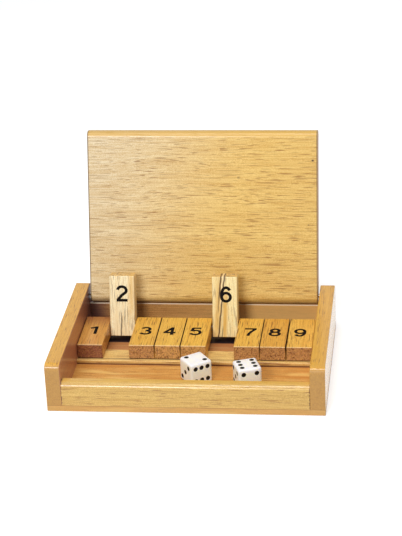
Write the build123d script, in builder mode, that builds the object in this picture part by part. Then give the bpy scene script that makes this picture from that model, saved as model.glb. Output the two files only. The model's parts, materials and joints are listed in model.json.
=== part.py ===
from build123d import *
import os
from math import acos, atan2, cos, degrees, hypot, radians, sin

# A travel-size shut the box game: a shallow wooden box with nine numbered tiles on one axle,
# a floor to throw two dice on, and a solid lid that swings over on two pins.
# Millimetres. Origin at the centre of the underside, +X to the right, +Y to the rear, +Z up.
# The lid leans open on the back wall, tiles 2 and 6 stand, and the dice lie on the floor.

# The box
box_width = 140.0
box_depth = 98.0
board_thickness = 3.4
side_thickness = 7.7
side_corner_radius = 3.3
side_rise = 0.45  # sides above the shut lid's outer face
front_thickness = 6.1
front_edge_radius = 3.3
back_thickness = 6.1
back_edge_radius = 0.5
eased_edge = 0.4  # every sanded arris that has no rounding of its own

# The dice
die_size = 12.3
die_edge_radius = 1.2
pip_pitch = 3.43  # from a face's centre to its outer pips, across and up
pip_radius = 1.15
pip_depth = 0.35
die_headroom = 0.2  # front and back walls above the dice

# The tiles, their rod and the strip that they lie on
tile_count = 9
tile_play = 4.9  # free width left along the whole row
tile_length = 32.9
tile_thickness = 7.9
tile_tail = 4.0  # from the axle to a tile's short end
tile_turn = 102.1  # from lying to standing, just past upright
standing_tiles = (2, 6)
gap_weights = (6, 5, 5, 5, 5, 17, 6, 4, 9, 36)  # how the play lies left of each tile, and at the end
axle_setback = 22.3  # from the rear face of the box
axle_radius = 1.5
axle_fit = 0.05
axle_seat_depth = 4.0
seat_fit = 0.02  # round rods and pins that are held fast
end_clearance = 0.1
rail_depth = 12.3
rail_height = 2.3
rail_lead = 2.1  # in front of the lying tiles
rail_clearance = 0.05

# The lid and its pins
lid_thickness = 9.5
lid_side_gap = 1.05
lid_clearance = 0.15  # above the front and back walls when shut
lid_front_setback = 4.6  # from the front face of the box when shut
lid_tail = 3.9  # from the pins to the lid's rear end
lid_tail_radius = 3.8  # inner rear edge, which turns past the back wall
lid_heel_radius = 0.5  # outer rear edge, which rests on the back wall when open
lid_nose_radius = 3.4  # both edges of the free end
lid_rest_clearance = 0.02
pivot_setback = 4.8  # from the rear face of the box
pin_radius = 1.0
pin_fit = 0.05
pin_reach = 9.0  # into the lid
pin_head_radius = 2.0
pin_head_thickness = 0.9

# Where the dice lie: right of and behind the middle of the throwing floor, and their turn
left_die_place = (2.35, 4.0)
left_die_turn = 35.5
right_die_place = (29.1, -1.2)
right_die_turn = 20.8

# Heights and places that follow
inner_width = box_width - 2 * side_thickness
front_y = -box_depth / 2
rear_y = box_depth / 2
cross_wall_height = die_size + die_headroom
cross_wall_top = board_thickness + cross_wall_height
pivot_y = rear_y - pivot_setback
pivot_z = cross_wall_top + lid_clearance + lid_thickness / 2
side_height = cross_wall_height + lid_clearance + lid_thickness + side_rise
axle_y = rear_y - axle_setback
axle_z = board_thickness + rail_height + rail_clearance + tile_thickness / 2
tile_width = (inner_width - tile_play) / tile_count
rail_front = axle_y + tile_tail - tile_length - rail_lead
floor_middle_y = (front_y + front_thickness + rail_front) / 2

# The lid leans back until its heel meets the top of the back wall: the heel's round edge lies
# heel_run behind the pins and heel_drop under them when the lid is upright.
heel_run = lid_thickness / 2 - lid_heel_radius
heel_drop = lid_tail - lid_heel_radius
heel_height = pivot_z - cross_wall_top - lid_heel_radius - lid_rest_clearance
lid_lean = degrees(atan2(heel_run, heel_drop) - acos(heel_height / hypot(heel_run, heel_drop)))

os.makedirs("parts", exist_ok=True)


def save(piece, name):
    """Label a finished piece and write it as its own STEP file."""
    piece.part.label = name
    export_step(piece.part, f"parts/{name}.step")


def side_plane(x, y, z, turn=0):
    """Plane seen from the right of the box: local x runs to the rear and local y up, until turned back."""
    return Plane(origin=(x, y, z), x_dir=(0, 1, 0), z_dir=(1, 0, 0)).rotated((-turn, 0, 0))


# Base board: under the whole box, its edge flush with the walls
with BuildPart() as base_board:
    with BuildSketch():
        Rectangle(box_width, box_depth)
    extrude(amount=board_thickness)
    fillet(base_board.edges().filter_by(Axis.Z), eased_edge)
    fillet(base_board.edges().group_by(Axis.Z)[0], eased_edge)
save(base_board, "base_board")

# Side walls: full length, with a blind hole for the tiles' rod and a recessed hole for the lid's pin
with BuildPart() as right_side_wall:
    with BuildSketch(side_plane(inner_width / 2, 0, board_thickness)) as side_profile:
        with Locations((0, side_height / 2)):
            Rectangle(box_depth, side_height)
        fillet(side_profile.vertices().group_by(Axis.Y)[-1], side_corner_radius)
    extrude(amount=side_thickness)
    cheeks = right_side_wall.faces().filter_by(Axis.X).edges()
    fillet(cheeks - cheeks.group_by(Axis.Z)[0], eased_edge)
    with Locations(-side_plane(inner_width / 2, axle_y, axle_z)):
        Hole(axle_radius + seat_fit, depth=axle_seat_depth)
    with Locations(side_plane(box_width / 2, pivot_y, pivot_z)):
        CounterBoreHole(pin_radius + seat_fit, pin_head_radius + seat_fit, pin_head_thickness)
save(right_side_wall, "right_side_wall")

with BuildPart() as left_side_wall:
    mirror(right_side_wall.part, about=Plane.YZ)
save(left_side_wall, "left_side_wall")

# Front wall: low, its outer top edge rounded, between the sides
with BuildPart() as front_wall:
    with BuildSketch(side_plane(0, front_y, board_thickness)) as front_profile:
        Rectangle(front_thickness, cross_wall_height, align=Align.MIN)
        fillet(front_profile.vertices().group_by(Axis.Y)[-1].sort_by(Axis.X)[0], front_edge_radius)
        fillet(front_profile.vertices().group_by(Axis.Y)[-1].sort_by(Axis.X)[-1], eased_edge)
    extrude(amount=inner_width / 2, both=True)
save(front_wall, "front_wall")

# Back wall: the same height; the open lid's heel rests on its top
with BuildPart() as back_wall:
    with BuildSketch(side_plane(0, rear_y - back_thickness, board_thickness)) as back_profile:
        Rectangle(back_thickness, cross_wall_height, align=Align.MIN)
        fillet(back_profile.vertices().group_by(Axis.Y)[-1], back_edge_radius)
    extrude(amount=inner_width / 2, both=True)
save(back_wall, "back_wall")

# Rest rail: a low strip across the floor, under the free ends of the lying tiles
with BuildPart() as tile_rest_rail:
    with BuildSketch(side_plane(0, rail_front, board_thickness)) as rail_profile:
        Rectangle(rail_depth, rail_height, align=Align.MIN)
        fillet(rail_profile.vertices().group_by(Axis.Y)[-1], eased_edge)
    extrude(amount=inner_width / 2, both=True)
save(tile_rest_rail, "tile_rest_rail")

# Tile rod: through all nine tiles, its ends held in the sides
with BuildPart() as tile_axle_rod:
    with BuildSketch(side_plane(0, axle_y, axle_z)):
        Circle(axle_radius)
    extrude(amount=inner_width / 2 + axle_seat_depth - end_clearance, both=True)
save(tile_axle_rod, "tile_axle_rod")


def make_tile(number):
    """One tile, turned about the rod if it stands, its place in the row set by the gaps before it."""
    gaps_before = tile_play * sum(gap_weights[:number]) / sum(gap_weights)
    middle_x = -inner_width / 2 + gaps_before + (number - 0.5) * tile_width
    turn = tile_turn if number in standing_tiles else 0
    plane = side_plane(middle_x, axle_y, axle_z, turn)
    with BuildPart() as tile:
        with BuildSketch(plane):
            with Locations((tile_tail - tile_length / 2, 0)):
                Rectangle(tile_length, tile_thickness)
        extrude(amount=tile_width / 2, both=True)
        fillet(tile.edges(), eased_edge)
        with Locations(plane):
            Hole(axle_radius + axle_fit)
    return tile


for number in range(1, tile_count + 1):
    save(make_tile(number), f"tile_{number}")

# Lid: one solid board on the two pins, drawn upright and leaned back about them
lid_length = pivot_y - (front_y + lid_front_setback) + lid_tail
with BuildPart() as lid:
    with BuildSketch(side_plane(0, pivot_y, pivot_z, lid_lean)) as lid_profile:
        with Locations((0, lid_length / 2 - lid_tail)):
            Rectangle(lid_thickness, lid_length)
        fillet(lid_profile.vertices().group_by(Axis.Y)[-1], lid_nose_radius)
        fillet(lid_profile.vertices().group_by(Axis.Y)[0].sort_by(Axis.X)[0], lid_tail_radius)
        fillet(lid_profile.vertices().group_by(Axis.Y)[0].sort_by(Axis.X)[-1], lid_heel_radius)
    lid_width = inner_width - 2 * lid_side_gap
    extrude(amount=lid_width / 2, both=True)
    fillet(lid.faces().filter_by(Axis.X).edges(), eased_edge)
    for side in (-1, 1):
        with Locations(Plane(origin=(side * lid_width / 2, pivot_y, pivot_z), z_dir=(side, 0, 0))):
            Hole(pin_radius + pin_fit, depth=pin_reach + end_clearance)
save(lid, "lid")

# Lid pins: headed brads, held in the sides, their heads flush with the outer faces
with BuildPart() as lid_pivot_pin_right:
    with BuildSketch(side_plane(box_width / 2, pivot_y, pivot_z)):
        Circle(pin_head_radius)
    extrude(amount=-pin_head_thickness)
    with BuildSketch(side_plane(box_width / 2 - pin_head_thickness, pivot_y, pivot_z)):
        Circle(pin_radius)
    extrude(amount=-(side_thickness - pin_head_thickness + lid_side_gap + pin_reach))
save(lid_pivot_pin_right, "lid_pivot_pin_right")

with BuildPart() as lid_pivot_pin_left:
    mirror(lid_pivot_pin_right.part, about=Plane.YZ)
save(lid_pivot_pin_left, "lid_pivot_pin_left")

# A die's faces as seen with its two on top: each face's plane through the die's centre,
# and its pips in steps of the pitch. Opposite faces add up to seven.
four = ((-1, -1), (-1, 1), (1, -1), (1, 1))
die_faces = (
    (-Plane.XZ, ((0, 0),)),
    (Plane.XY, ((-1, 1), (1, -1))),
    (-Plane.YZ, ((-1, 1), (0, 0), (1, -1))),
    (Plane.YZ, four),
    (-Plane.XY, four + ((0, 0),)),
    (Plane.XZ, four + ((0, -1), (0, 1))),
)


def make_die(plane):
    """One die about the plane's origin: a cube with rounded edges and a round dimple for each pip."""
    dimple_radius = (pip_radius**2 + pip_depth**2) / (2 * pip_depth)
    dimple_height = die_size / 2 - pip_depth + dimple_radius
    with BuildPart(plane) as die:
        Box(die_size, die_size, die_size)
        fillet(die.edges(), die_edge_radius)
        for face, pips in die_faces:
            for across, up in pips:
                centre = face.from_local_coords((across * pip_pitch, up * pip_pitch, dimple_height))
                # The ball's seam faces outward, clear of the dimple.
                with Locations(Plane(centre, x_dir=face.z_dir, z_dir=face.x_dir)):
                    Sphere(dimple_radius, mode=Mode.SUBTRACT)
    return die


def die_centre(place):
    """Centre of a die that lies on the floor at a place measured from the floor's middle."""
    return (place[0], floor_middle_y + place[1], board_thickness + die_size / 2)


# Left die: its two on top, its six and three to the front
save(make_die(Plane(die_centre(left_die_place)).rotated((0, 0, left_die_turn))), "die_left")

# Right die: its six on top, its four and five to the front
right_turn = radians(right_die_turn)
right_plane = Plane(
    die_centre(right_die_place),
    x_dir=(sin(right_turn), -cos(right_turn), 0),
    z_dir=(cos(right_turn), sin(right_turn), 0),
)
save(make_die(right_plane), "die_right")
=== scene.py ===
import json
from math import cos, pi, radians, sin

import bpy
import numpy as np
from mathutils import Matrix, Vector


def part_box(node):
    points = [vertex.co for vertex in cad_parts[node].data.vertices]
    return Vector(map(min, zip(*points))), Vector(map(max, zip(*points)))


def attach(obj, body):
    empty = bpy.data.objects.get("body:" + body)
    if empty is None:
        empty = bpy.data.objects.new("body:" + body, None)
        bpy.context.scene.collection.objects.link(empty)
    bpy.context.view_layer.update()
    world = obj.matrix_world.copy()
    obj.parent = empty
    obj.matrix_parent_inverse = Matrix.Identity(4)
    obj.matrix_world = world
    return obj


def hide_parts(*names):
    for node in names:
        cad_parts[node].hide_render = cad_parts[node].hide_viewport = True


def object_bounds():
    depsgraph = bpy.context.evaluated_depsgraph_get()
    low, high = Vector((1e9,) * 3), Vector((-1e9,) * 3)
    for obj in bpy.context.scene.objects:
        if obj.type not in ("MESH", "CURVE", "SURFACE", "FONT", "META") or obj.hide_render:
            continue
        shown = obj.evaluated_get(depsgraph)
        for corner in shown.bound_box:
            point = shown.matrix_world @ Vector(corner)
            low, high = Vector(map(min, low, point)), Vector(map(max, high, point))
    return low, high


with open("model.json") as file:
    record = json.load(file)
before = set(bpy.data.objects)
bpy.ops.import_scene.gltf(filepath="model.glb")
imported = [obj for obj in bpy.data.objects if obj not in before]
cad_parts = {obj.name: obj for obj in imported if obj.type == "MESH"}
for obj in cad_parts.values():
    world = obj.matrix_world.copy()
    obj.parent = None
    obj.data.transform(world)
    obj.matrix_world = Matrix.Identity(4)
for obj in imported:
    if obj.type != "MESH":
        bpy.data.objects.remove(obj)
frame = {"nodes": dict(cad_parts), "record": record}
cad_box = [list(corner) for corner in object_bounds()]


# ---------------------------------------------------------------------------------------------
# Camera: eye height above the table, a little to the right of the middle and tipped by under
# three degrees, with the long lens of a catalogue photograph.

def aim_camera(target, azimuth, elevation, tip, distance, lens):
    """A camera at a distance from the target along the direction given by azimuth and elevation."""
    a, e = radians(azimuth), radians(elevation)
    back = Vector((sin(a) * cos(e), -cos(a) * cos(e), sin(e)))
    level_right = Vector((cos(a), sin(a), 0))
    level_up = back.cross(level_right)
    right = cos(radians(tip)) * level_right + sin(radians(tip)) * level_up
    turn = Matrix((right, back.cross(right), back)).transposed().to_4x4()
    data = bpy.data.cameras.new("camera")
    data.sensor_width = 36
    data.lens = lens
    camera = bpy.data.objects.new("camera", data)
    camera.matrix_world = Matrix.Translation(target + distance * back) @ turn
    bpy.context.collection.objects.link(camera)
    bpy.context.scene.camera = camera


aim_camera(Vector((0.01132, -0.049, 0.0802)), azimuth=7.64, elevation=24.89, tip=-2.73,
           distance=0.94091, lens=131.46)
bpy.context.scene.view_settings.view_transform = "Standard"


# ---------------------------------------------------------------------------------------------
# Studio: a white sheet of card that the box stands on, a soft lamp in front and a little to the
# left, a larger one overhead, and an even light from all round.

def new_material(name):
    """An empty node material, its node tree and its output node."""
    material = bpy.data.materials.new(name)
    material.use_nodes = True
    tree = material.node_tree
    tree.nodes.clear()
    output = tree.nodes.new("ShaderNodeOutputMaterial")
    return material, tree, output


def add(tree, kind, **settings):
    """A node of one kind: each setting is a property of the node, or else the value of an input."""
    node = tree.nodes.new("ShaderNode" + kind)
    for name, value in settings.items():
        if hasattr(node, name):
            setattr(node, name, value)
        else:
            node.inputs[name.replace("_", " ")].default_value = value
    return node


def seen_directly(tree):
    """Light Path mask: one for rays that show the backdrop to the camera, or in gloss and glass."""
    path = add(tree, "LightPath")
    either = add(tree, "Math", operation="MAXIMUM")
    tree.links.new(path.outputs["Is Camera Ray"], either.inputs[0])
    tree.links.new(path.outputs["Is Glossy Ray"], either.inputs[1])
    any_of = add(tree, "Math", operation="MAXIMUM")
    tree.links.new(either.outputs[0], any_of.inputs[0])
    tree.links.new(path.outputs["Is Transmission Ray"], any_of.inputs[1])
    return any_of.outputs[0]


def light_the_room(ambient):
    """World: white where it is seen, and a dimmer even light on the object."""
    world = bpy.data.worlds.new("room")
    world.use_nodes = True
    bpy.context.scene.world = world
    tree = world.node_tree
    tree.nodes.clear()
    lit = add(tree, "Background", Color=(0.93, 0.96, 1.0, 1), Strength=ambient)
    seen = add(tree, "Background", Color=(1, 1, 1, 1), Strength=1.0)
    mixed = add(tree, "MixShader")
    tree.links.new(seen_directly(tree), mixed.inputs[0])
    tree.links.new(lit.outputs[0], mixed.inputs[1])
    tree.links.new(seen.outputs[0], mixed.inputs[2])
    tree.links.new(mixed.outputs[0], add(tree, "OutputWorld").inputs[0])


def hang_lamp(name, place, target, width, power, colour):
    """A square soft lamp that faces the target."""
    data = bpy.data.lights.new(name, "AREA")
    data.size = width
    data.energy = power
    data.color = colour
    lamp = bpy.data.objects.new(name, data)
    lamp.location = place
    lamp.rotation_euler = (target - place).to_track_quat("-Z", "Y").to_euler()
    bpy.context.collection.objects.link(lamp)


def lay_card(half_size, drop):
    """The card is a square flat face just under the box, its shadow kept under a white glow."""
    mesh = bpy.data.meshes.new("card")
    signs = ((-1, -1), (1, -1), (1, 1), (-1, 1))
    corners = [(x * half_size, y * half_size, -drop) for x, y in signs]
    mesh.from_pydata(corners, [], [(0, 1, 2, 3)])
    card = bpy.data.objects.new("card", mesh)
    bpy.context.collection.objects.link(card)
    material, tree, output = new_material("white_card")
    paper = add(tree, "BsdfDiffuse", Color=(0.86, 0.86, 0.86, 1))
    glow = add(tree, "Emission", Color=(1, 1, 1, 1), Strength=0.50)
    both = add(tree, "AddShader")
    tree.links.new(paper.outputs[0], both.inputs[0])
    tree.links.new(glow.outputs[0], both.inputs[1])
    mixed = add(tree, "MixShader")
    tree.links.new(seen_directly(tree), mixed.inputs[0])
    tree.links.new(paper.outputs[0], mixed.inputs[1])
    tree.links.new(both.outputs[0], mixed.inputs[2])
    tree.links.new(mixed.outputs[0], output.inputs[0])
    mesh.materials.append(material)


light_the_room(ambient=0.28)
middle = Vector((0, 0, 0.04))
hang_lamp("key_lamp", Vector((-0.27, -1.0, 0.72)), middle, 0.35, 8.1, (1.0, 0.995, 0.985))
hang_lamp("top_lamp", Vector((0.05, -0.25, 1.25)), middle, 0.48, 7.3, (1.0, 1.0, 1.0))
lay_card(half_size=3.0, drop=0.0002)


# ---------------------------------------------------------------------------------------------
# The box: five boards and a rail of one light, open-pored wood, glued up and sanded with every
# arris broken. Sealed with a thin satin lacquer that has gone honey brown.

def tone(red, green, blue):
    """A colour as it is seen, 0 to 255, as the linear values that a shader takes."""
    seen = np.array([red, green, blue]) / 255
    linear = np.where(seen <= 0.04045, seen / 12.92, ((seen + 0.055) / 1.055) ** 2.4)
    return (*linear, 1.0)


def new_group(name, inputs, outputs):
    """An empty node group: sockets are given as name and kind, or name, kind and start value."""
    tree = bpy.data.node_groups.new(name, "ShaderNodeTree")
    for socket_name, kind, *start in inputs:
        socket = tree.interface.new_socket(socket_name, in_out="INPUT",
                                           socket_type="NodeSocket" + kind)
        if start:
            socket.default_value = start[0]
    for socket_name, kind in outputs:
        tree.interface.new_socket(socket_name, in_out="OUTPUT", socket_type="NodeSocket" + kind)
    given = tree.nodes.new("NodeGroupInput").outputs
    return tree, given, tree.nodes.new("NodeGroupOutput").inputs


def math(tree, operation, first, second=0.0):
    """A Math node on two sockets or numbers, and its result."""
    node = add(tree, "Math", operation=operation)
    for socket, value in zip(node.inputs, (first, second)):
        if isinstance(value, (int, float)):
            socket.default_value = value
        else:
            tree.links.new(value, socket)
    return node.outputs[0]


def spread(tree, value, low, high, start=0.0, end=1.0):
    """A Map Range node: low to high becomes start to end, smoothly and no further."""
    node = add(tree, "MapRange", interpolation_type="SMOOTHSTEP", From_Min=low, From_Max=high,
               To_Min=start, To_Max=end)
    tree.links.new(value, node.inputs["Value"])
    return node.outputs["Result"]


def noise(tree, vector, cell, detail=2.0, roughness=0.5):
    """Noise whose cells have the given size along X, Y and Z, in the vector's own unit."""
    scaled = add(tree, "VectorMath", operation="DIVIDE")
    scaled.inputs[1].default_value = cell
    tree.links.new(vector, scaled.inputs[0])
    node = add(tree, "TexNoise", Scale=1.0, Detail=detail, Roughness=roughness)
    tree.links.new(scaled.outputs[0], node.inputs["Vector"])
    return node.outputs["Fac"]


def mix_colour(tree, mask, first, second):
    """Mix two colours, each a socket or a colour, by a mask."""
    node = add(tree, "Mix", data_type="RGBA", clamp_factor=True)
    tree.links.new(mask, node.inputs[0])
    for socket, value in ((node.inputs[6], first), (node.inputs[7], second)):
        if isinstance(value, tuple):
            socket.default_value = value
        else:
            tree.links.new(value, socket)
    return node.outputs[2]


def figure_group():
    """The figure of a planed board, from a place in millimetres with X along the grain. A slow
    noise bends the fibres. Bands are noise many times longer than wide, streaks the same but a
    hair wide, flecks are short. Pores are dashes where a fine noise is high, more of them in some
    rows than in others. End grain is browner, with dark dots in clumps and pale flecks."""
    tree, given, result = new_group(
        "planed_figure",
        (("Place", "Vector"), ("End Grain", "Float", 0.0), ("Pale", "Color"), ("Deep", "Color"),
         ("Pore", "Color"), ("End", "Color"), ("Wander", "Float", 2.0), ("Band Width", "Float", 3.0),
         ("Pore Share", "Float", 0.5), ("End Dots", "Float", 0.35)),
        (("Colour", "Color"), ("Relief", "Float")),
    )
    slow = noise(tree, given["Place"], (60, 20, 20), detail=1.0)
    bend = math(tree, "MULTIPLY", math(tree, "SUBTRACT", slow, 0.5), given["Wander"])
    shift = add(tree, "CombineXYZ")
    tree.links.new(bend, shift.inputs["Y"])
    tree.links.new(bend, shift.inputs["Z"])
    bent = add(tree, "VectorMath", operation="ADD")
    tree.links.new(given["Place"], bent.inputs[0])
    tree.links.new(shift.outputs[0], bent.inputs[1])
    place = bent.outputs[0]
    widths = add(tree, "CombineXYZ")
    tree.links.new(math(tree, "MULTIPLY", given["Band Width"], 25.0), widths.inputs["X"])
    tree.links.new(given["Band Width"], widths.inputs["Y"])
    tree.links.new(math(tree, "MULTIPLY", given["Band Width"], 1.6), widths.inputs["Z"])
    wide = add(tree, "VectorMath", operation="DIVIDE")
    tree.links.new(place, wide.inputs[0])
    tree.links.new(widths.outputs[0], wide.inputs[1])
    bands = spread(tree, noise(tree, wide.outputs[0], (1, 1, 1), detail=2.0), 0.34, 0.66)
    streaks = spread(tree, noise(tree, place, (38, 0.5, 0.5), detail=1.0), 0.34, 0.66)
    flecks = spread(tree, noise(tree, place, (0.45, 0.36, 0.36), detail=0.0), 0.28, 0.72)
    share = math(tree, "MULTIPLY", bands, 0.16)
    share = math(tree, "ADD", share, math(tree, "MULTIPLY", streaks, 0.38))
    share = math(tree, "ADD", share, math(tree, "MULTIPLY", flecks, 0.46))
    dashes = noise(tree, place, (7.5, 0.37, 0.37), detail=0.0)
    rows = noise(tree, place, (45, 2.6, 2.6), detail=1.0)
    limit = math(tree, "SUBTRACT", 0.82, math(tree, "MULTIPLY", rows, 0.22))
    limit = math(tree, "SUBTRACT", limit, math(tree, "MULTIPLY", given["Pore Share"], 0.16))
    pores = spread(tree, math(tree, "SUBTRACT", dashes, limit), 0.0, 0.14)
    dots = spread(tree, noise(tree, place, (5, 0.8, 0.8), detail=3.0, roughness=0.75), 0.36, 0.66)
    clumps = spread(tree, noise(tree, place, (9, 2.6, 1.8), detail=2.0), 0.35, 0.65, 0.55, 1.2)
    dots = math(tree, "MULTIPLY", dots, clumps)
    side = mix_colour(tree, math(tree, "MULTIPLY", pores, 0.68),
                      mix_colour(tree, share, given["Pale"], given["Deep"]), given["Pore"])
    end = mix_colour(tree, math(tree, "MULTIPLY", dots, given["End Dots"]), given["End"],
                     given["Pore"])
    light = spread(tree, noise(tree, place, (5, 0.7, 0.7), detail=1.0), 0.5, 0.68, 0.0, 0.28)
    end = mix_colour(tree, math(tree, "MULTIPLY", light, given["End Dots"]), end, given["Pale"])
    tree.links.new(mix_colour(tree, given["End Grain"], side, end), result["Colour"])
    relief = math(tree, "SUBTRACT", math(tree, "MULTIPLY", streaks, 0.3), pores)
    tree.links.new(relief, result["Relief"])
    return tree


planed_figure = figure_group()


def board_place(tree, turn, seed):
    """Where a point lies in its board, in millimetres with X along the grain, and how far the
    surface there is end grain. Turn is the rotation that lays the grain along X."""
    coordinates = add(tree, "TexCoord")
    place = add(tree, "Mapping", Rotation=turn, Scale=(1000, 1000, 1000))
    place.inputs["Location"].default_value = (seed * 61.0, seed * 17.0, seed * 23.0)
    tree.links.new(coordinates.outputs["Object"], place.inputs["Vector"])
    facing = add(tree, "Mapping", vector_type="VECTOR", Rotation=turn)
    tree.links.new(coordinates.outputs["Normal"], facing.inputs["Vector"])
    along = add(tree, "SeparateXYZ")
    tree.links.new(facing.outputs[0], along.inputs[0])
    end_grain = spread(tree, math(tree, "ABSOLUTE", along.outputs["X"]), 0.45, 0.9)
    return place.outputs[0], end_grain


def object_place(tree):
    """Where a point lies in its object, in metres."""
    return add(tree, "TexCoord").outputs["Object"]


def object_millimetres(tree):
    """X, Y and Z of a point in its object, in millimetres."""
    apart = add(tree, "SeparateXYZ")
    scaled = add(tree, "VectorMath", operation="SCALE")
    scaled.inputs["Scale"].default_value = 1000
    tree.links.new(object_place(tree), scaled.inputs[0])
    tree.links.new(scaled.outputs[0], apart.inputs[0])
    return apart.outputs


def near(tree, value, level, reach):
    """One at a level and falling to nothing at its reach to both sides."""
    away = math(tree, "ABSOLUTE", math(tree, "SUBTRACT", value, level))
    return spread(tree, away, 0.0, reach, 1.0, 0.0)


ALONG_X = (0, 0, 0)
ALONG_Y = (0, 0, -pi / 2)


def wood(name, pale, deep, pore, end, turn=ALONG_X, seed=0.0, wander=3.0, band_width=3.0, pores=0.5,
         end_dots=0.3, coat=0.3, full_coat=None, marks=None):
    """Sealed wood: the planed figure in this board's tones, under a satin lacquer. Marks, if given,
    adds what one board alone has to the colour."""
    material, tree, output = new_material(name)
    place, end_grain = board_place(tree, turn, seed)
    figure = add(tree, "Group", node_tree=planed_figure, Pale=pale, Deep=deep, Pore=pore, End=end,
                 Wander=wander, Band_Width=band_width, Pore_Share=pores, End_Dots=end_dots)
    tree.links.new(place, figure.inputs["Place"])
    tree.links.new(end_grain, figure.inputs["End Grain"])
    colour = figure.outputs["Colour"]
    if marks:
        colour = marks(tree, object_millimetres(tree), colour)
    lacquer = add(tree, "BsdfPrincipled", Roughness=0.45, Specular_IOR_Level=0.3, Coat_Weight=coat,
                  Coat_Roughness=0.16)
    tree.links.new(colour, lacquer.inputs["Base Color"])
    if full_coat:
        tree.links.new(full_coat(tree, object_millimetres(tree)), lacquer.inputs["Coat Weight"])
    bump = add(tree, "Bump", Strength=0.35, Distance=0.00008)
    tree.links.new(figure.outputs["Relief"], bump.inputs["Height"])
    tree.links.new(bump.outputs[0], lacquer.inputs["Normal"])
    tree.links.new(lacquer.outputs[0], output.inputs[0])
    return material


def dress(node, material):
    """Give a piece of the frame its material."""
    mesh = frame["nodes"][node].data
    mesh.materials.clear()
    mesh.materials.append(material)


# Faces of the box, in millimetres. The back wall stands on the floor, reaches from one side to the
# other and is as high as the front wall.
rail_low = 1000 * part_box("tile_rest_rail")[0]
back_low, back_high = (1000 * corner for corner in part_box("back_wall"))
inner_face, outer_face = back_high.x, 1000 * cad_box[1][0]
front_edge = 1000 * cad_box[0][1]
floor_top, front_top = back_low.z, back_high.z
tile_front = 1000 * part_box("tile_3")[0].y
# Where the painted shade under the tiles' axle begins, in millimetres.
axle_shade_from = 20.4


def floor_marks(tree, at, colour):
    """Broad bands of orange and pale wood, a painted contact shade before the rail, painted shade
    behind it in redder wood, a near black painted shade under the tiles' axle, and a paler outer
    edge with a thin seam under the walls."""
    wide = noise(tree, object_place(tree), (0.035, 0.004, 0.004), detail=3.0)
    colour = mix_colour(tree, spread(tree, wide, 0.44, 0.62, 0.0, 0.5), colour, tone(198, 128, 54))
    colour = mix_colour(tree, spread(tree, wide, 0.46, 0.32, 0.0, 0.6), colour, tone(246, 204, 120))
    sideways = math(tree, "ABSOLUTE", at["X"])
    between = spread(tree, sideways, inner_face + 0.2, inner_face + 0.5, 1.0, 0.0)
    inside = math(tree, "MULTIPLY", between,
                  spread(tree, at["Y"], back_low.y + 0.3, back_low.y + 0.6, 1.0, 0.0))
    inside = math(tree, "MULTIPLY", inside, spread(tree, at["Z"], floor_top - 0.4, floor_top - 0.1))
    # Painted shade: a dark line before the foot of the rail.
    painted_contact_shade = math(tree, "MULTIPLY", inside, near(tree, at["Y"], rail_low.y, 0.7))
    colour = mix_colour(tree, painted_contact_shade, colour, tone(96, 50, 30))
    # Painted shade: redder, darker wood behind the rail.
    painted_shade_behind_rail = math(tree, "MULTIPLY", inside, spread(tree, at["Y"], 6, 16, 0.0, 0.6))
    colour = mix_colour(tree, painted_shade_behind_rail, colour, tone(150, 92, 70))
    # Painted shade: a near black strip under the tiles' axle.
    painted_shade_under_axle = math(tree, "MULTIPLY", inside,
                    spread(tree, at["Y"], axle_shade_from, axle_shade_from + 1.2))
    colour = mix_colour(tree, painted_shade_under_axle, colour, tone(34, 24, 30))
    edge = spread(tree, at["Y"], front_edge + 0.1, front_edge + 0.4, 0.6, 0.0)
    colour = mix_colour(tree, edge, colour, tone(198, 158, 92))
    seam = math(tree, "MULTIPLY", edge, near(tree, at["Z"], floor_top, 0.5))
    return mix_colour(tree, seam, colour, tone(120, 74, 36))


def rail_marks(tree, at, colour):
    """Long flecks of grime. The foot of the rail has painted shade, and a thin line of painted
    shade lies before the tiles."""
    grime = noise(tree, object_place(tree), (0.012, 0.0012, 0.0012), detail=1.0)
    colour = mix_colour(tree, spread(tree, grime, 0.58, 0.7, 0.0, 0.7), colour, tone(150, 96, 58))
    # Painted shade: a thin dark line where the tiles' fronts meet the rail.
    colour = mix_colour(tree, near(tree, at["Y"], tile_front, 0.5), colour, tone(96, 56, 36))
    # Painted shade darkens the foot of the rail.
    painted_foot_shading = spread(tree, at["Z"], rail_low.z, rail_low.z + 1.5, 1.0, 0.0)
    return mix_colour(tree, painted_foot_shading, colour, tone(104, 58, 34))


def back_marks(tree, at, colour):
    """Painted light, paler towards the right, painted shade, darker and redder at the left end, and
    a painted highlight on the front arris.
    """
    # Painted light: paler wood towards the right.
    colour = mix_colour(tree, spread(tree, at["X"], -40, 45, 0.0, 0.75), colour, tone(250, 200, 122))
    # Painted shade: darker, redder wood at the left end.
    colour = mix_colour(tree, spread(tree, at["X"], -60, -46, 0.8, 0.0), colour, tone(88, 52, 66))
    # Painted highlight along the front arris.
    painted_arris_highlight = math(tree, "MULTIPLY", near(tree, at["Z"], back_high.z, 0.7),
                 near(tree, at["Y"], back_low.y, 0.7))
    return mix_colour(tree, painted_arris_highlight, colour, tone(255, 240, 214))


def left_marks(tree, at, colour):
    """Painted shade: the inner face darker and redder than the top, and darker still towards the rear.
    """
    inner = spread(tree, at["X"], -inner_face - 0.35, -inner_face - 0.05)
    # Painted shade: the inner face darker and redder than the top.
    colour = mix_colour(tree, math(tree, "MULTIPLY", inner, 0.6), colour, tone(168, 102, 112))
    # Painted shade, deeper towards the rear.
    rear = math(tree, "MULTIPLY", inner, spread(tree, at["Y"], -10, 45, 0.0, 0.7))
    return mix_colour(tree, rear, colour, tone(96, 52, 54))


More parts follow.
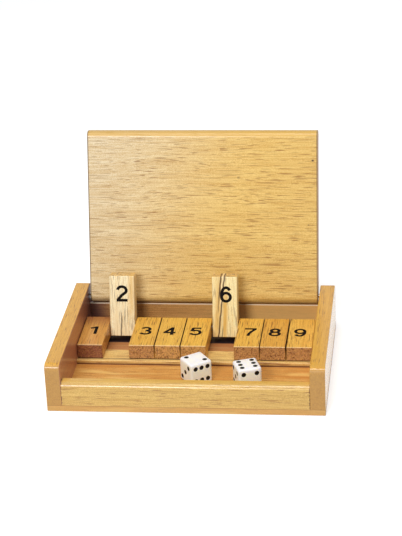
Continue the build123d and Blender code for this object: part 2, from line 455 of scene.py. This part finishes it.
def front_marks(tree, at, colour):
    """Painted shade on the top, a richer and less blue gold against the room's reflection there, and a
    dark broken line at each end where the wall is glued between the sides.
    """
    # Painted shade: the top is tinted a richer gold to tone down its reflection.
    top = spread(tree, at["Z"], front_top - 0.3, front_top, 0.0, 0.35)
    colour = mix_colour(tree, top, colour, tone(226, 168, 48))
    broken = noise(tree, object_place(tree), (0.0008, 0.0008, 0.0008), detail=1.0)
    sideways = math(tree, "ABSOLUTE", at["X"])
    joint = spread(tree, sideways, inner_face - 0.5, inner_face - 0.1)
    joint = math(tree, "MULTIPLY", joint, spread(tree, broken, 0.35, 0.6))
    return mix_colour(tree, joint, colour, tone(84, 46, 24))


def outer_coat(tree, at):
    """The outer faces of the sides have a full coat of lacquer."""
    side = math(tree, "ABSOLUTE", at["X"])
    return spread(tree, side, outer_face - 0.3, outer_face - 0.05, 0.5, 1.0)


box_pore = tone(140, 88, 42)
box_end = tone(188, 141, 70)
dress("base_board", wood("floor_wood", tone(230, 174, 92), tone(186, 124, 56), box_pore, box_end,
                         seed=1, marks=floor_marks))
dress("front_wall", wood("front_wood", tone(226, 188, 106), tone(186, 141, 64), box_pore, box_end,
                         seed=2, coat=0.6, marks=front_marks))
dress("back_wall", wood("back_wood", tone(226, 170, 100), tone(178, 118, 64), box_pore, box_end,
                        seed=3, marks=back_marks))
dress("tile_rest_rail", wood("rail_wood", tone(238, 206, 132), tone(204, 160, 84), box_pore, box_end,
                             seed=4, marks=rail_marks))
for side_seed, side, side_marks in ((5, "left", left_marks), (6, "right", None)):
    side_wood = wood(f"{side}_side_wood", tone(230, 177, 68), tone(200, 141, 42), box_pore, box_end,
                     turn=ALONG_Y, seed=side_seed, full_coat=outer_coat, marks=side_marks)
    dress(f"{side}_side_wall", side_wood)


# ---------------------------------------------------------------------------------------------
# Rod and pins: plain drawn steel wire. The rod runs through the nine tiles, and the two pins
# are brads whose heads lie flush in the outer faces of the sides.

def steel(name, light, dark):
    """Drawn wire: fine scratches along X from noise far longer than wide."""
    material, tree, output = new_material(name)
    place, _ = board_place(tree, ALONG_X, 0)
    scratch = noise(tree, place, (6, 0.12, 0.12), detail=2.0)
    metal = add(tree, "BsdfPrincipled", Metallic=1.0)
    tree.links.new(mix_colour(tree, scratch, light, dark), metal.inputs["Base Color"])
    tree.links.new(spread(tree, scratch, 0.3, 0.7, 0.25, 0.45), metal.inputs["Roughness"])
    tree.links.new(metal.outputs[0], output.inputs[0])
    return material


# The rod's steel is painted dark: painted shade for the gaps between the tiles where it shows.
dress("tile_axle_rod", steel("rod_steel_painted_shade", tone(104, 98, 92), tone(70, 64, 60)))
pin_steel = steel("pin_steel", tone(188, 186, 182), tone(148, 146, 144))
for pin in ("lid_pivot_pin_left", "lid_pivot_pin_right"):
    dress(pin, pin_steel)


# ---------------------------------------------------------------------------------------------
# Tiles: nine blocks sawn along the grain, their front ends open end grain. A black number is
# printed on the upper face and again on the underside, which shows when the tile stands.

tile_length = 0.0329
tile_tail = 0.0040
tile_thickness = 0.0079
tile_turn = radians(102.1)
standing_tiles = (2, 6)
digit_height = 0.0086
lying_digit_setback = 0.0161
standing_digit_setback = 0.0096
ink_thickness = 0.00003
digit_shift = {2: 0.0001, 3: 0.0003, 4: -0.0006, 5: -0.0004, 6: 0.0007, 7: 0.0006, 9: -0.0006}


def ink():
    """Printed black, a little worn: a dull black with a faint mottle."""
    material, tree, output = new_material("printing_ink")
    place, _ = board_place(tree, ALONG_X, 3)
    mottle = noise(tree, place, (0.5, 0.5, 0.5), detail=3.0)
    paint = add(tree, "BsdfPrincipled", Roughness=0.8, Specular_IOR_Level=0.08)
    black = mix_colour(tree, mottle, tone(8, 7, 8), tone(30, 24, 20))
    tree.links.new(black, paint.inputs["Base Color"])
    tree.links.new(paint.outputs[0], output.inputs[0])
    return material


printing_ink = ink()


def arc(middle_x, middle_y, radius_x, radius_y, start, end, points=33):
    """Points of an ellipse's arc, with angles in degrees."""
    angle = np.radians(np.linspace(start, end, points))
    return np.stack((middle_x + radius_x * np.cos(angle), middle_y + radius_y * np.sin(angle)), -1)


def line(*points):
    """Points of a straight stroke."""
    return np.array(points, float)


# Each number's pen strokes, in parts of its height: arcs and lines of a plain upright hand.
ring_of_six = arc(0, -0.17, 0.25, 0.26, 0, 360)
tail_of_six = np.vstack((arc(0.01, -0.03, 0.26, 0.46, 38, 180), line((-0.25, -0.17))))
digit_strokes = {
    1: (line((0.07, -0.5), (0.07, 0.5)), line((-0.26, 0.27), (-0.06, 0.33), (0.07, 0.45))),
    2: (np.vstack((arc(0, 0.2, 0.25, 0.23, 172, -38), line((-0.02, -0.12), (-0.24, -0.4)))),
        line((-0.32, -0.43), (0.32, -0.43))),
    3: (arc(-0.02, 0.225, 0.21, 0.205, 162, -92), arc(-0.02, -0.205, 0.26, 0.225, 92, -162)),
    4: (line((0.13, -0.5), (0.13, 0.5)), line((-0.33, -0.2), (0.33, -0.2)),
        line((0.13, 0.46), (-0.27, -0.2))),
    5: (line((-0.2, 0.43), (0.27, 0.43)), line((-0.16, 0.46), (-0.22, 0.02)),
        arc(-0.01, -0.15, 0.26, 0.28, 138, -158)),
    6: (ring_of_six, tail_of_six),
    7: (line((-0.32, 0.43), (0.32, 0.43)),
        line((0.26, 0.4), (0.06, 0.08), (-0.05, -0.18), (-0.1, -0.5))),
    8: (arc(0, 0.225, 0.21, 0.205, 0, 360), arc(0, -0.2, 0.255, 0.23, 0, 360)),
    9: (-ring_of_six, -tail_of_six),
}
pen_width = 0.172


def stroke_slab(name, path):
    """One pen stroke as a closed slab. Its two sides are the path moved half the pen's width each
    way along its normal, and each of them has an upper and a lower edge."""
    ring = np.allclose(path[0], path[-1])
    points = path[:-1] if ring else path
    if ring:
        heading = np.roll(points, -1, 0) - np.roll(points, 1, 0)
    else:
        heading = np.gradient(points, axis=0)
    heading /= np.linalg.norm(heading, axis=1, keepdims=True)
    normal = np.stack((-heading[:, 1], heading[:, 0]), -1) * pen_width / 2
    corners = [np.column_stack((points + side * normal, np.full(len(points), level)))
               for side, level in ((1, 0.5), (-1, 0.5), (-1, -0.5), (1, -0.5))]
    here = np.arange(len(points) if ring else len(points) - 1)
    after = (here + 1) % len(points)
    faces = [np.stack((here + a, after + a, after + b, here + b), -1)
             for a, b in ((len(points) * i, len(points) * ((i + 1) % 4)) for i in range(4))]
    quads = np.concatenate(faces).tolist()
    if not ring:
        first = [len(points) * i for i in range(4)]
        quads += [first, [i + len(points) - 1 for i in reversed(first)]]
    mesh = bpy.data.meshes.new(name)
    mesh.from_pydata(np.concatenate(corners).tolist(), [], quads)
    slab = bpy.data.objects.new(name, mesh)
    bpy.context.collection.objects.link(slab)
    return slab


def joined(slabs):
    """The strokes of one number fused into a single mesh."""
    body, *others = slabs
    for other in others:
        union = body.modifiers.new("union", "BOOLEAN")
        union.operation = "UNION"
        union.object = other
    bpy.context.view_layer.update()
    fused = body.evaluated_get(bpy.context.evaluated_depsgraph_get())
    mesh = bpy.data.meshes.new_from_object(fused)
    for slab in slabs:
        bpy.data.objects.remove(slab)
    return mesh


def print_digit(name, number, width, place, right, up):
    """The digit as a thin slab of ink, its middle at the place, reading along right and up. Width
    is how far it is stretched across."""
    mesh = joined([stroke_slab(name, path) for path in digit_strokes[number]])
    points = np.empty(len(mesh.vertices) * 3)
    mesh.vertices.foreach_get("co", points)
    sized = points.reshape(-1, 3) * (digit_height * width, digit_height, ink_thickness)
    axes = np.array((right, up, right.cross(up)))
    mesh.vertices.foreach_set("co", (sized @ axes + np.array(place)).ravel())
    mesh.materials.clear()
    mesh.materials.append(printing_ink)
    digit = bpy.data.objects.new(name, mesh)
    bpy.context.collection.objects.link(digit)
    return digit


def print_tile(number):
    """Both digits of a tile, placed from its box and its axle, and turned with it if it stands."""
    low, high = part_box(f"tile_{number}")
    joints = frame["record"]["behaviour"]["joints"]
    _, axle_y, axle_z = next(j["pos_m"] for j in joints if j["name"] == f"tile_{number}_flip")
    axle = Vector(((low.x + high.x) / 2 + digit_shift.get(number, 0.0), axle_y, axle_z))
    turn = Matrix.Rotation(-tile_turn if number in standing_tiles else 0.0, 3, "X")
    right, rear, over = (turn @ Vector(axis) for axis in ((1, 0, 0), (0, 1, 0), (0, 0, 1)))
    proud = tile_thickness / 2 + ink_thickness / 2
    upper = axle + rear * (tile_tail - lying_digit_setback) + over * proud
    under = axle + rear * (tile_tail - tile_length + standing_digit_setback) - over * proud
    faces = (("upper", 1.12, upper, right, rear), ("under", 1.08, under, right, -rear))
    for face, width, place, reading, top in faces:
        digit = print_digit(f"digit_{number}_{face}", number, width, place, reading, top)
        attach(digit, f"tile_{number}")


def vein_marks(tree, at, colour, veins):
    """Veins that run up a standing tile: each leans with height, and has its own width and ends."""
    for x, lean, half_width, low, high, strength, vein in veins:
        drift = noise(tree, object_place(tree), (0.004, 0.004, 0.004), detail=1.0)
        across = math(tree, "SUBTRACT", at["X"], math(tree, "MULTIPLY", at["Z"], lean))
        across = math(tree, "ADD", across, math(tree, "SUBTRACT", drift, 0.5))
        fade = 3 * half_width
        along = math(tree, "MULTIPLY", spread(tree, at["Z"], low - fade, low + fade),
                     spread(tree, at["Z"], high - fade, high + fade, 1.0, 0.0))
        mask = math(tree, "MULTIPLY", near(tree, across, x, half_width), along)
        colour = mix_colour(tree, math(tree, "MULTIPLY", mask, strength), colour, vein)
    return colour


brown_vein, gold_vein, cream_vein = tone(64, 32, 10), tone(224, 176, 84), tone(252, 230, 180)
tile_veins = {
    2: ((-37.2, 0.02, 2.8, 18, 46, 0.6, gold_vein), (-42.9, 0.044, 0.6, 6, 17, 0.9, brown_vein),
        (-41.4, 0.044, 0.5, 15, 21, 0.6, brown_vein), (-45.0, 0.0, 2.4, 8, 18, 0.7, cream_vein)),
    6: ((7.6, 0.09, 3.2, 5, 41, 0.75, gold_vein), (12.2, 0.05, 2.2, 5, 30, 0.95, gold_vein),
        (7.6, 0.09, 0.85, 28, 46, 1.0, brown_vein), (7.5, 0.09, 0.6, 20, 30, 0.6, brown_vein),
        (8.5, 0.094, 0.7, 24, 46, 0.9, cream_vein), (8.62, 0.115, 0.7, 4, 46, 1.0, brown_vein),
        (10.6, 0.1, 0.55, 5, 12, 0.7, brown_vein)),
}


def painted_gap_shade(tree, at, side):
    """Painted shade where a lying tile's side faces a neighbour, near its upper arris."""
    return math(tree, "MULTIPLY", near(tree, at["X"], side, 0.42), spread(tree, at["Z"], 8, 13))


def lying_marks(number):
    """A lying tile's front arris has a painted highlight, its foot painted shade where it meets the
    rail, and its sides painted shade where a neighbour lies close. The first tile has painted
    shade, red and dark, at its rear end."""
    low, high = (1000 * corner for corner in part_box(f"tile_{number}"))

    def marks(tree, at, colour):
        if number == 1:
            # Painted shade: the first tile darker and redder towards its rear.
            rear = spread(tree, at["Y"], 16, 30, 0.0, 0.6)
            colour = mix_colour(tree, rear, colour, tone(132, 66, 44))
        # Painted highlight along the front arris.
        painted_arris_highlight = math(tree, "MULTIPLY", near(tree, at["Y"], low.y + 0.25, 0.5),
                     spread(tree, at["Z"], high.z - 0.55, high.z - 0.25))
        colour = mix_colour(tree, math(tree, "MULTIPLY", painted_arris_highlight, 0.4), colour, tone(252, 222, 156))
        # Painted shade along the sides next to a lying neighbour.
        for neighbour, side in ((number - 1, low.x), (number + 1, high.x)):
            if neighbour in tile_tones and neighbour not in standing_tiles:
                colour = mix_colour(tree, painted_gap_shade(tree, at, side), colour, tone(70, 36, 18))
        # Painted shade at the foot, where the tile meets the rail.
        painted_foot_shading = math(tree, "MULTIPLY", near(tree, at["Z"], low.z, 0.7), near(tree, at["Y"], low.y, 0.8))
        return mix_colour(tree, math(tree, "MULTIPLY", painted_foot_shading, 0.9), colour, tone(56, 26, 20))

    return marks


def standing_marks(number):
    """A standing tile shows its veins."""
    def marks(tree, at, colour):
        return vein_marks(tree, at, colour, tile_veins[number])

    return marks


tile_tones = {
    # Tile 1's darker tones, its end grain most, are partly its own wood and partly painted shade from
    # the left wall.
    1: (tone(224, 168, 80), tone(190, 126, 54), tone(150, 94, 68)),
    # Tiles 2 and 6 stand facing the lamp: their paler tones are partly painted light.
    2: (tone(254, 246, 212), tone(236, 208, 150), tone(238, 192, 104)),
    3: (tone(238, 190, 84), tone(206, 146, 54), tone(202, 150, 94)),
    4: (tone(240, 196, 90), tone(208, 152, 60), tone(214, 164, 98)),
    5: (tone(242, 196, 86), tone(212, 152, 56), tone(214, 164, 98)),
    6: (tone(253, 242, 188), tone(238, 208, 138), tone(238, 192, 104)),
    7: (tone(240, 192, 84), tone(210, 150, 58), tone(202, 150, 94)),
    8: (tone(232, 178, 76), tone(198, 136, 52), tone(196, 146, 92)),
    9: (tone(240, 194, 90), tone(208, 150, 60), tone(196, 146, 92)),
}
for number, (pale, deep, end) in tile_tones.items():
    turn = (tile_turn, 0, -pi / 2) if number in standing_tiles else ALONG_Y
    marks = standing_marks(number) if number in standing_tiles else lying_marks(number)
    tile_wood = wood(f"tile_{number}_wood", pale, deep, tone(104, 58, 34), end, turn=turn,
                     seed=10 + number, wander=2.0, band_width=1.6, pores=0.6, end_dots=0.9, marks=marks)
    dress(f"tile_{number}", tile_wood)
    print_tile(number)


# ---------------------------------------------------------------------------------------------
# Lid: one wide solid board, flat sawn, its grain running across the box. The front edges are
# rounded over by hand, and it turns on the two pins with a working gap at each end.

lid_lean = radians(14.927)
lid_rounding = (104.4, 105.4)
lid_foot = 1000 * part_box("lid")[0].z
lid_half = 1000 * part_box("lid")[1].x
lid_knots = ((58.66, 92.66, 0.75, 0.95), (56.35, 59.57, 0.45, 0.8), (19.46, 83.86, 0.9, 0.45))


def lid_marks(tree, at, colour):
    """A painted sheen that pales the wood towards the upper left, the rounding painted a deeper
    gold where that sheen is absent, three pin knots, painted shade along the foot, and a dark line
    along the two sawn ends."""
    # Painted sheen: paler, less golden wood towards the upper left.
    pale = math(tree, "SUBTRACT", math(tree, "MULTIPLY", at["Z"], 0.35), at["X"])
    painted_sheen = add(tree, "Mix", data_type="RGBA", blend_type="MULTIPLY")
    painted_sheen.inputs[0].default_value = 1.0
    painted_sheen.inputs[7].default_value = (0.95, 1.14, 2.4, 1.0)
    tree.links.new(colour, painted_sheen.inputs[6])
    colour = mix_colour(tree, spread(tree, pale, 0, 95), colour, painted_sheen.outputs[2])
    # Painted shade: the upper rounding a deeper gold, as it looks out of the face's sheen.
    painted_rounding_tone = spread(tree, at["Z"], *lid_rounding, 0.0, 0.7)
    colour = mix_colour(tree, painted_rounding_tone, colour, tone(208, 162, 68))
    for x, z, radius, strength in lid_knots:
        across = math(tree, "MULTIPLY", math(tree, "SUBTRACT", at["X"], x), 0.8)
        up = math(tree, "SUBTRACT", at["Z"], z)
        away = math(tree, "SQRT", math(tree, "ADD", math(tree, "POWER", across, 2.0),
                                       math(tree, "POWER", up, 2.0)))
        knot = spread(tree, away, radius * 0.3, radius, strength, 0.0)
        colour = mix_colour(tree, knot, colour, tone(70, 38, 20))
    # Painted shade along the foot of the lid.
    painted_foot_shading = spread(tree, at["Z"], lid_foot, lid_foot + 1.8, 0.7, 0.0)
    colour = mix_colour(tree, painted_foot_shading, colour, tone(84, 46, 44))
    # A dark line along the two sawn ends.
    ends = near(tree, math(tree, "ABSOLUTE", at["X"]), lid_half - 0.4, 0.42)
    return mix_colour(tree, math(tree, "MULTIPLY", ends, 0.85), colour, tone(74, 50, 36))


lid_wood = wood("lid_wood", tone(234, 201, 120), tone(200, 153, 72), tone(140, 90, 28),
                tone(176, 124, 74), turn=(lid_lean, 0, 0), seed=7, wander=4.0, pores=0.62,
                marks=lid_marks)
dress("lid", lid_wood)


# ---------------------------------------------------------------------------------------------
# Dice: moulded white plastic with rounded edges, their pips drilled as shallow dimples and
# painted black.

die_size = 0.0123
die_round = 0.0012
pip_pitch = 0.00343
pip_radius = 0.00115
pip_depth = 0.00035
paint_reach = 1.06 * pip_radius
die_steps = 64
left_die_turn = radians(35.5)
right_die_turn = radians(20.8)
die_top = 1000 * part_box("die_left")[1].z


def die_plastic():
    """White plastic, a little see-through, with painted light below its top: a cream tint for the
    light that the floor throws up. The pip attribute paints it black."""
    material, tree, output = new_material("die_plastic")
    painted = add(tree, "Attribute", attribute_name="pip")
    place, _ = board_place(tree, ALONG_X, 2)
    cloud = noise(tree, place, (5, 5, 5), detail=1.0)
    white = mix_colour(tree, cloud, tone(253, 254, 254), tone(248, 248, 246))
    # Painted light: a cream tint below the top stands in for light thrown up from the floor.
    painted_foot_shading = spread(tree, object_millimetres(tree)["Z"], die_top - 2.5, die_top - 0.3, 1.0, 0.0)
    white = mix_colour(tree, painted_foot_shading, white, tone(252, 255, 232))
    plastic = add(tree, "BsdfPrincipled", Roughness=0.3, Specular_IOR_Level=0.35, Subsurface_Weight=0.7,
                  Subsurface_Scale=0.006)
    plastic.inputs["Subsurface Radius"].default_value = (1.0, 1.0, 0.75)
    colour = mix_colour(tree, spread(tree, painted.outputs["Fac"], 0.35, 0.65), white, tone(4, 4, 5))
    tree.links.new(colour, plastic.inputs["Base Color"])
    tree.links.new(plastic.outputs[0], output.inputs[0])
    return material


def die_mesh(name, centre, x_axis, z_axis):
    """A rounded cube with dimples. Each face is a grid of (u, v) on a cube. A point moves to the
    nearest place on a cube smaller by the edge radius, then out by that radius along the
    difference. Inside a pip it sinks by depth * (1 - (r / radius) ** 2)."""
    four = [(-1, -1), (-1, 1), (1, -1), (1, 1)]
    faces = (
        ((0, 1, 0), (-1, 0, 0), [(0, 0)]),
        ((0, 0, 1), (1, 0, 0), [(-1, 1), (1, -1)]),
        ((-1, 0, 0), (0, -1, 0), [(1, 1), (0, 0), (-1, -1)]),
        ((1, 0, 0), (0, 1, 0), four),
        ((0, 0, -1), (-1, 0, 0), four + [(0, 0)]),
        ((0, -1, 0), (1, 0, 0), four + [(0, 1), (0, -1)]),
    )
    half, core = die_size / 2, die_size / 2 - die_round
    edge = np.linspace(-pi / 4, pi / 4, die_steps + 1)
    spaced = half * np.sin(edge) / sin(pi / 4)
    u, v = np.meshgrid(spaced, spaced, indexing="ij")
    row = np.arange(die_steps)
    i, j = np.meshgrid(row, row, indexing="ij")
    corner = i * (die_steps + 1) + j
    quads = np.stack((corner, corner + die_steps + 1, corner + die_steps + 2, corner + 1), -1)
    quads = quads.reshape(-1, 4)
    points, polygons, painted = [], [], []
    for out, along, pips in faces:
        out, along = np.array(out, float), np.array(along, float)
        above = np.cross(out, along)
        cube = out * half + u[..., None] * along + v[..., None] * above
        inner = np.clip(cube, -core, core)
        away = cube - inner
        length = np.linalg.norm(away, axis=-1, keepdims=True)
        rounded = inner + away / length * die_round
        nearest = np.min([np.hypot(u - a * pip_pitch, v - b * pip_pitch) for a, b in pips], axis=0)
        sink = pip_depth * np.clip(1 - (nearest / pip_radius) ** 2, 0, None)
        polygons.append(quads + len(points) * (die_steps + 1) ** 2)
        points.append((rounded - sink[..., None] * out).reshape(-1, 3))
        covered = np.clip(0.5 + (paint_reach - nearest) / (die_size / die_steps), 0, 1)
        painted.append(covered.ravel())
    points = np.concatenate(points)
    x_axis, z_axis = np.array(x_axis), np.array(z_axis)
    axes = np.array((x_axis, np.cross(z_axis, x_axis), z_axis))
    mesh = bpy.data.meshes.new(name)
    mesh.from_pydata(points @ axes + np.array(centre), [], np.concatenate(polygons).tolist())
    mesh.attributes.new("pip", "FLOAT", "POINT").data.foreach_set("value", np.concatenate(painted))
    return mesh


def place_die(name, x_axis, z_axis):
    """The die stands for its piece of the frame, at that piece's middle."""
    low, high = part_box(name)
    mesh = die_mesh(name + "_moulded", (low + high) / 2, x_axis, z_axis)
    mesh.materials.append(white_plastic)
    mesh.shade_smooth()
    die = bpy.data.objects.new(name + "_moulded", mesh)
    bpy.context.collection.objects.link(die)
    merged = die.modifiers.new("merged", "WELD")
    merged.merge_threshold = 1e-7
    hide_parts(name)
    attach(die, name)


white_plastic = die_plastic()
place_die("die_left", (cos(left_die_turn), sin(left_die_turn), 0), (0, 0, 1))
place_die("die_right", (sin(right_die_turn), -cos(right_die_turn), 0),
          (cos(right_die_turn), sin(right_die_turn), 0))
